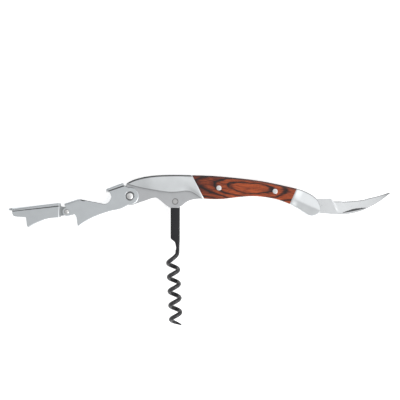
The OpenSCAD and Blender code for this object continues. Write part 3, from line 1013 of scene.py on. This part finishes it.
def paint_line_shade(mesh, lines):
    """Darkens the faces of the cheeks that lie on a line, and sheared edges facing the back."""
    seam, edge = face_layer(mesh, "seam"), face_layer(mesh, "edge")
    for face in mesh.faces:
        centre = face.calc_center_median()
        if abs(centre.z - MID) < LEVER_OUT - 0.4 * MM:
            continue
        rounded = False
        for start, end, outward, near, far in lines:
            reach = (centre - start).dot((end - start).normalized())
            if -0.5 * MM < reach < (end - start).length + 0.5 * MM:
                inside = (start - centre).dot(outward)
                rounded = rounded or (near > 0 and inside < far)
                if near < inside < far and (near == 0 or abs(face.normal.z) > 0.99):
                    face[seam] = 1.0
        if face[edge] and not rounded and face.normal.y > 0.35:
            face[seam] = 0.9


class CORKSCREW_OT_lever(bpy.types.Operator):
    """Makes the two pressed pieces of the lever: the arm and its tip"""

    bl_idname = "corkscrew.lever"
    bl_label = "Lever and tip"

    def execute(self, context):
        shape = context.scene.corkscrew_sheet
        for node in ("lever", "lever_tip"):
            mesh = copy_of(node, SLIVER)
            self.round_jogs(mesh, shape)
            self.round_recess(mesh, shape)
            lines = back_lines(mesh, node, shape)
            score(mesh, lines)
            blunt_edges(mesh, shape.blunt)
            paint_line_shade(mesh, lines)
            self.paint_recess_shade(mesh, shape)
            new_piece(node + "_pressing", mesh, node, "pressed_steel", node, sharp=20)
        return {"FINISHED"}

    def round_jogs(self, mesh, shape):
        """Rounds the upright edges where the tip's cheeks jog in to the knuckle."""
        jogs = [
            e for e in mesh.edges
            if abs(abs(e.verts[0].co.z - MID) - LEVER_OUT) < WELD
            and abs(e.verts[1].co.z - e.verts[0].co.z) < WELD and e.calc_length() > 6 * MM
            and abs(e.verts[1].co.x - e.verts[0].co.x) < 0.1 * MM
        ]
        mark = face_layer(mesh, "edge")
        for face in bevel(mesh, jogs, shape.jog, 6):
            face[mark] = 1.0

    def round_recess(self, mesh, shape):
        """Rounds the rims of the recesses that the pivot's heads sit in."""
        pivot, mark = pivot_of("lever_fold").xy, face_layer(mesh, "edge")
        rims = [
            e for e in mesh.edges
            if all((v.co.xy - pivot).length < shape.recess
                   and abs(abs(v.co.z - MID) - LEVER_OUT) < WELD for v in e.verts)
        ]
        for face in bevel(mesh, rims, shape.halo, 3):
            face[mark] = 1.0

    def paint_recess_shade(self, mesh, shape):
        """Darkens the ring round the pivot's head and the narrow knuckle beside the hinge."""
        knuckle = 6 * MM
        seam, pivot, hinge = face_layer(mesh, "seam"), pivot_of("lever_fold"), pivot_of("tip_fold")
        for face in mesh.faces:
            centre = face.calc_center_median()
            depth = LEVER_OUT - abs(centre.z - MID)
            reach = max((v.co.xy - pivot.xy).length for v in face.verts)
            if reach < shape.recess and depth > 0.3 * MM:
                face[seam] = 0.9
            if (centre.xy - hinge.xy).length < knuckle and depth > 0.9 * MM:
                face[seam] = 0.5


# ---------------------------------------------------------------- worm

# Stations down the neck: how far below the shank's top, how far the left and the right edge
# have come in to the wire, and how round the section is
NECK = [
    (24.7, 0, 0, 0), (25.3, 0.12, 0, 0), (26.0, 0.42, 0.05, 0.1), (26.8, 0.76, 0.2, 0.25),
    (27.8, 0.96, 0.45, 0.4), (29.4, 1.1, 0.75, 0.65), (30.8, 1.15, 0.95, 0.9),
    (31.7, 1.08, 1, 1), (32.6, 1, 1, 1),
]
ROUND_TOP = [0.05, 0.3, 0.8, 1.5, 2.2, 2.8]   # stations round the shank's top, as falls below it
STRAIGHT_FROM = 2.9               # where the straight shank starts, below its top
SHANK_ROUND = 0.25                # roundness of the flat shank's section
TURNS_FROM = 33.38 * MM           # where the turns begin, below the shank's top
AXIS_AT = (-1.95 * MM, 26.68 * MM)   # a point on the worm's axis, from the pivot and the top
LEAD_IN = 2.0 * MM                # extra rise of the first half turn
TAPER = 0.42                      # the last part of a turn, ground to a point
POINT = 0.12                      # the point's share of the wire's radius
FLARE = 0.8 * MM                  # how far the point stands out past the turns
FLARED = 0.3                      # the last part of a turn, which swings out to the point


def between(a, b, share):
    return a + (b - a) * share


def glide(rows, share):
    """A smooth curve through rows of numbers, at a share of their count."""
    at = share * (len(rows) - 1)
    i = min(int(at), len(rows) - 2)
    t = at - i
    a, b, c, d = (rows[min(max(k, 0), len(rows) - 1)] for k in (i - 1, i, i + 1, i + 2))
    return [
        0.5 * (2 * q + (r - p) * t + (2 * p - 5 * q + 4 * r - s) * t * t
               + (3 * q - p - 3 * r + s) * t ** 3)
        for p, q, r, s in zip(a, b, c, d)
    ]


def worm_stations(shape):
    """The worm's sections from its top to its point: centre, the two half-axes and roundness."""
    pivot, top = pivot_of("worm_fold"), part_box("worm")[1].y
    half_w, half_t, wire = shape.shank_width / 2, shape.shank_thickness / 2, shape.wire / 2
    coil = shape.outside / 2 - wire
    axis_x, axis_fall = AXIS_AT
    neck_x = pivot.x + axis_x + (TURNS_FROM - axis_fall) * math.tan(shape.lean) + coil
    level, out = Vector((1, 0, 0)), Vector((0, 0, 1))
    stations = []
    for fall in ROUND_TOP:
        half = math.sqrt(half_w ** 2 - (half_w - fall * MM) ** 2)
        centre = Vector((pivot.x, top - fall * MM, MID))
        stations.append((centre, level * half, out * half_t, SHANK_ROUND))
    steps = 48
    rows = [(STRAIGHT_FROM, 0, 0, 0)] + [glide(NECK, k / steps) for k in range(steps + 1)]
    for fall, left_in, right_in, roundness in rows:
        x1 = between(pivot.x - half_w, neck_x - wire, left_in)
        x2 = between(pivot.x + half_w, neck_x + wire, right_in)
        centre = Vector(((x1 + x2) / 2, top - fall * MM, MID))
        stations.append((centre, level * (x2 - x1) / 2,
                         out * between(half_t, wire, roundness),
                         between(SHANK_ROUND, 1, min(max(roundness, 0), 1))))
    lean = Matrix.Rotation(shape.lean, 3, "Z")
    start = Vector((neck_x - coil, top - TURNS_FROM, MID))

    def coil_at(a):
        eased = 1 - max(0, 1 - a / math.pi) ** 2
        fall = shape.pitch * a / math.tau + LEAD_IN * eased
        r = coil + FLARE * max(0, 1 - (shape.turns - a / math.tau) / FLARED) ** 2
        return Vector((r * math.cos(a), -fall, r * math.sin(a)))

    steps = int(shape.turns * 40)
    for k in range(1, steps + 1):
        a = k / steps * shape.turns * math.tau
        ahead = (coil_at(a + 0.03) - coil_at(a - 0.03)).normalized()
        outward = Vector((math.cos(a), 0, math.sin(a)))
        outward = (outward - outward.dot(ahead) * ahead).normalized()
        across = ahead.cross(outward)
        left = (shape.turns - a / math.tau) / TAPER
        r = wire * (between(POINT, 1, math.sqrt(max(left, 0))) if left < 1 else 1)
        stations.append((start + lean @ coil_at(a), lean @ outward * r, lean @ across * r, 1.0))
    return stations


def section_point(station, angle):
    """A point on a section that is a flat with round corners, a circle, or between the two."""
    centre, first, second, roundness = station
    c, s = math.cos(angle), math.sin(angle)
    return (centre + first * math.copysign(abs(c) ** roundness, c)
            + second * math.copysign(abs(s) ** roundness, s))


class CORKSCREW_OT_worm(bpy.types.Operator):
    """Makes the worm by drawing one ring out through all its sections"""

    bl_idname = "corkscrew.worm"
    bl_label = "Worm"

    def execute(self, context):
        shape = context.scene.corkscrew_worm
        mesh = bmesh.new()
        turn, mark = mesh.verts.layers.float.new("turn"), layer(mesh, "edge")
        ring = bmesh.ops.create_circle(mesh, cap_ends=True, segments=shape.sides, radius=1)["verts"]
        for vert in ring:
            vert[turn] = math.atan2(vert.co.y, vert.co.x) + math.pi / shape.sides
        edges = list(mesh.edges)
        stations = worm_stations(shape)
        for station in stations:
            if station is not stations[0]:
                drawn = bmesh.ops.extrude_edge_only(mesh, edges=edges)["geom"]
                ring = [g for g in drawn if isinstance(g, bmesh.types.BMVert)]
                edges = [
                    g for g in drawn
                    if isinstance(g, bmesh.types.BMEdge) and all(v in ring for v in g.verts)
                ]
            for vert in ring:
                vert.co = section_point(station, vert[turn])
                # marks the outside of the wire along the turns, which the coating shows lighter: wear
                # and painted highlight
                vert[mark] = float(station[3] == 1.0 and abs(math.cos(vert[turn] / 2)) > 0.9)
        bmesh.ops.contextual_create(mesh, geom=edges)
        mesh.verts.layers.float.remove(turn)
        bmesh.ops.recalc_face_normals(mesh, faces=mesh.faces)
        new_piece("worm_screw", mesh, "worm", "black_coating", "worm", sharp=50)
        return {"FINISHED"}


# ---------------------------------------------------------------- blade

GRIND_FROM = Vector((50.4, -5.3)) * MM    # the shoulder where the grind starts
GRIND_TO = Vector((54.4, -14.8)) * MM     # where it reaches the spine
NICK = (Vector((57.5, -13.9)) * MM, Vector((71.7, -10.9)) * MM)   # the nail nick's two ends
NICK_RISE, NICK_DROP = 0.8 * MM, 1.1 * MM     # how far it bulges above and below their line
TOOTHED = (57.0 * MM, 72.0 * MM)          # stretch of the edge that is serrated
GROUND_LENGTH = 36 * MM                   # from the start of the grind to the point


def nearest(loop, place):
    return min(loop, key=lambda p: (p.xy - place).length)


def nick_depth(point, deepest):
    """A nick that is deepest and darkest along its upper edge and runs out towards the spine."""
    start, end = NICK
    length = (end - start).length
    way = (end - start) / length
    t = (point.xy - start).dot(way) / length
    if not 0 < t < 1:
        return 0.0, 0.0
    bulge = 4 * t * (1 - t)
    above = (point.xy - start).dot(Vector((-way.y, way.x)))
    share = (above + NICK_DROP * bulge) / ((NICK_RISE + NICK_DROP) * bulge)
    if not 0 < share < 1:
        return 0.0, 0.0
    return deepest * share, ease((share - 0.2) / 0.3)


def blade_height(half_thickness, upper):
    """Half the blade's thickness over its ground stretch."""
    shape = bpy.context.scene.corkscrew_blade

    def height(u, v, half, point):
        across = (v + 1) / 2
        spine = half_thickness * (1 - 0.45 * u * u)
        ground = (across - shape.spine_share) / (1 - shape.spine_share)
        thin = between(spine, shape.edge / 2, max(ground, 0))
        z = between(half_thickness, thin, ease(u * GROUND_LENGTH / shape.plunge))
        toothed = TOOTHED[0] < point.x < TOOTHED[1]
        wave = 0.5 + 0.5 * math.cos(math.tau * point.x / shape.tooth)
        if toothed and upper:
            z -= shape.scallop * wave * ease((across - 0.80) / 0.2)
        z = max(z, 0.04 * MM)
        depth, seam = nick_depth(point, shape.nick) if upper else (0.0, 0.0)
        rim = THIN_BLUNT * (1 - ease(across / 0.02))
        from_edge = 2 * half * (1 - across)
        from_spine = 2 * half * across
        # painted shade: dark lines along the edge and the spine, and a dark tip
        edge_shade = 0.6 * ease((0.75 * MM - from_edge) / (0.4 * MM))
        spine_shade = 0.4 * ease((0.6 * MM - from_spine) / (0.3 * MM))
        tip = 0.9 * ease((u - 0.9) / 0.1)
        return z - depth - rim, float(across < 0.03), max(seam, edge_shade, spine_shade, tip)

    return height


class CORKSCREW_OT_blade(bpy.types.Operator):
    """Makes the foil blade: a flat tang and ricasso, and a ground, serrated stretch"""

    bl_idname = "corkscrew.blade"
    bl_label = "Foil blade"

    def execute(self, context):
        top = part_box("blade")[1].z
        rim = rim_of("blade", top)
        shoulder, spine = nearest(rim, GRIND_FROM), nearest(rim, GRIND_TO)
        tip = corner(rim, 1, 0.5)
        edge_chain, spine_chain = stretch(rim, shoulder, tip), stretch(rim, spine, tip)
        mesh = self.ground(spine_chain, edge_chain, top - MID)
        self.add_ricasso(mesh, shoulder, spine)
        new_piece("blade_foil", mesh, "blade", "blade_steel", "blade", sharp=20)
        return {"FINISHED"}

    def ground(self, low, high, half):
        """The ground stretch: an upper and a lower skin, joined round their borders."""
        mesh = bmesh.new()
        skin(mesh, low, high, 180, 44, blade_height(half, True))
        under = bmesh.new()
        skin(under, low, high, 180, 44, blade_height(half, False))
        turn_over(under)
        take_in(mesh, under)
        bmesh.ops.bridge_loops(mesh, edges=[e for e in mesh.edges if e.is_boundary])
        bmesh.ops.remove_doubles(mesh, verts=mesh.verts, dist=WELD)
        bmesh.ops.recalc_face_normals(mesh, faces=mesh.faces)
        return mesh

    def add_ricasso(self, mesh, shoulder, spine):
        """The flat part up to the grind, cut from the packed blade."""
        flat = copy_of("blade", SLIVER)
        way = (spine - shoulder).xy.normalized()
        cut = bmesh.ops.bisect_plane(
            flat, geom=[*flat.verts, *flat.edges, *flat.faces], dist=WELD,
            plane_co=shoulder, plane_no=(-way.y, way.x, 0), clear_outer=True,
        )["geom_cut"]
        bmesh.ops.contextual_create(flat, geom=[g for g in cut if isinstance(g, bmesh.types.BMEdge)])
        blunt_edges(flat, THIN_BLUNT)
        # the flat part keeps no edge marks, and is darkened a little, evenly
        flat.faces.layers.float.remove(face_layer(flat, "edge"))
        mark = layer(flat, "seam")
        for vert in flat.verts:
            vert[mark] = 0.1
        take_in(mesh, flat)


# ---------------------------------------------------------------- studio


def world_light(scene):
    """A soft tent of light: brighter towards the blade, and dimmer past the back, but white where
    the camera sees it."""
    world = bpy.data.worlds.new("Studio")
    scene.world = world
    world.use_nodes = True
    tree = world.node_tree
    tree.nodes.clear()
    way = add(tree, "TexCoord").outputs["Generated"]
    split = add(tree, "SeparateXYZ", {0: way}).outputs
    tilt = maths(tree, "ARCTAN2", split["Y"], split["Z"])
    turn = maths(tree, "MULTIPLY_ADD", tilt, 1 / math.tau, 0.5)
    # stops are turns from straight down, by way of the belly side, the lens at 0.5 and the back
    bands = ramp(tree, turn, (0.0, 0.9), (0.30, 0.8), (0.433, 0.66), (0.5, 0.78), (0.532, 0.82),
                 (0.567, 0.97), (0.63, 0.5), (0.80, 0.42), (0.92, 0.6), (1.0, 0.9))
    nearby = maths(tree, "MINIMUM", maths(tree, "MAXIMUM", split["X"], -0.2), 0.4)
    side = maths(tree, "MULTIPLY_ADD", nearby, 1.3, 1.0)
    seen = add(tree, "LightPath").outputs["Is Camera Ray"]
    shown = mix_colour(tree, seen, dimmed(tree, bands, side), (1.05, 1.05, 1.05, 1))
    back = add(tree, "Background", {"Color": shown, "Strength": 1.0})
    add(tree, "OutputWorld", {"Surface": back.outputs[0]})


FLOOR_GAP = 0.2 * MM              # how far the floor lies below the object
LAMP_AT = Vector((0.50, -0.45, 0.65))
FACE = MID + 3 * MM               # the height at which the view's width is measured


def floor_material():
    """Matt white paper, lit from below as on a light table."""
    material, tree, shader, place = new_material("White paper")
    fill(tree, shader, {
        "Base Color": ramp(tree, noise(tree, place, 0.8, 3.0), (0.3, 0.90), (0.7, 0.93)),
        "Roughness": 0.9, "Emission Color": (1, 1, 1, 1), "Emission Strength": 0.55,
    })
    return material


class CORKSCREW_OT_stage(bpy.types.Operator):
    """Makes the floor, the light and the camera"""

    bl_idname = "corkscrew.stage"
    bl_label = "Stage"

    def execute(self, context):
        scene, studio = context.scene, context.scene.corkscrew_studio
        scene.view_settings.view_transform = "Standard"
        world_light(scene)
        self.floor(scene)
        self.lamp(scene, studio)
        self.camera(scene, studio)
        return {"FINISHED"}

    def floor(self, scene):
        mesh = bmesh.new()
        bmesh.ops.create_grid(mesh, x_segments=1, y_segments=1, size=2.5)
        bmesh.ops.translate(mesh, vec=(0, 0, -FLOOR_GAP), verts=mesh.verts)
        data = bpy.data.meshes.new("floor")
        mesh.to_mesh(data)
        mesh.free()
        data.materials.append(floor_material())
        floor = bpy.data.objects.new("floor", data)
        scene.collection.objects.link(floor)

    def lamp(self, scene, studio):
        data = bpy.data.lights.new("soft_box", "AREA")
        data.shape = "DISK"
        data.size = 0.6
        data.energy = studio.key
        lamp = bpy.data.objects.new("soft_box", data)
        lamp.location = LAMP_AT
        lamp.rotation_euler = LAMP_AT.to_track_quat("Z", "Y").to_euler()
        scene.collection.objects.link(lamp)

    def camera(self, scene, studio):
        """Looks straight down at the side of the object. The middle of the frame is the middle of
        the object's length, about level with the pivots."""
        low, high = CAD_BOX
        data = bpy.data.cameras.new("camera")
        data.lens = studio.lens
        camera = bpy.data.objects.new("camera", data)
        away = studio.view_width / data.sensor_width * data.lens
        camera.location = ((low.x + high.x) / 2 + 0.05 * MM, -6.2 * MM, FACE + away)
        data.clip_end = 10
        scene.collection.objects.link(camera)
        scene.camera = camera


# ---------------------------------------------------------------- add-on

STEPS = (
    CORKSCREW_OT_stage,
    CORKSCREW_OT_liners,
    CORKSCREW_OT_bolsters,
    CORKSCREW_OT_scales,
    CORKSCREW_OT_pins,
    CORKSCREW_OT_inner,
    CORKSCREW_OT_lever,
    CORKSCREW_OT_worm,
    CORKSCREW_OT_blade,
)


class VIEW3D_PT_corkscrew(bpy.types.Panel):
    """Lists the corkscrew's settings and the steps that build it"""

    bl_label = "Corkscrew"
    bl_idname = "VIEW3D_PT_corkscrew"
    bl_space_type = "VIEW_3D"
    bl_region_type = "UI"
    bl_category = "Corkscrew"

    def draw(self, context):
        for name, kind in SETTINGS.items():
            box = self.layout.box()
            box.label(text=kind.__doc__)
            group = getattr(context.scene, name)
            for setting in kind.__annotations__:
                box.prop(group, setting)
        for step in STEPS:
            self.layout.operator(step.bl_idname)


CLASSES = (*SETTINGS.values(), *STEPS, VIEW3D_PT_corkscrew)


def register():
    for kind in CLASSES:
        bpy.utils.register_class(kind)
    for name, kind in SETTINGS.items():
        setattr(bpy.types.Scene, name, PointerProperty(type=kind))


def unregister():
    for name in SETTINGS:
        delattr(bpy.types.Scene, name)
    for kind in reversed(CLASSES):
        bpy.utils.unregister_class(kind)


def main():
    register()
    for step in STEPS:
        group, name = step.bl_idname.split(".")
        getattr(getattr(bpy.ops, group), name)()


if __name__ == "__main__":
    main()
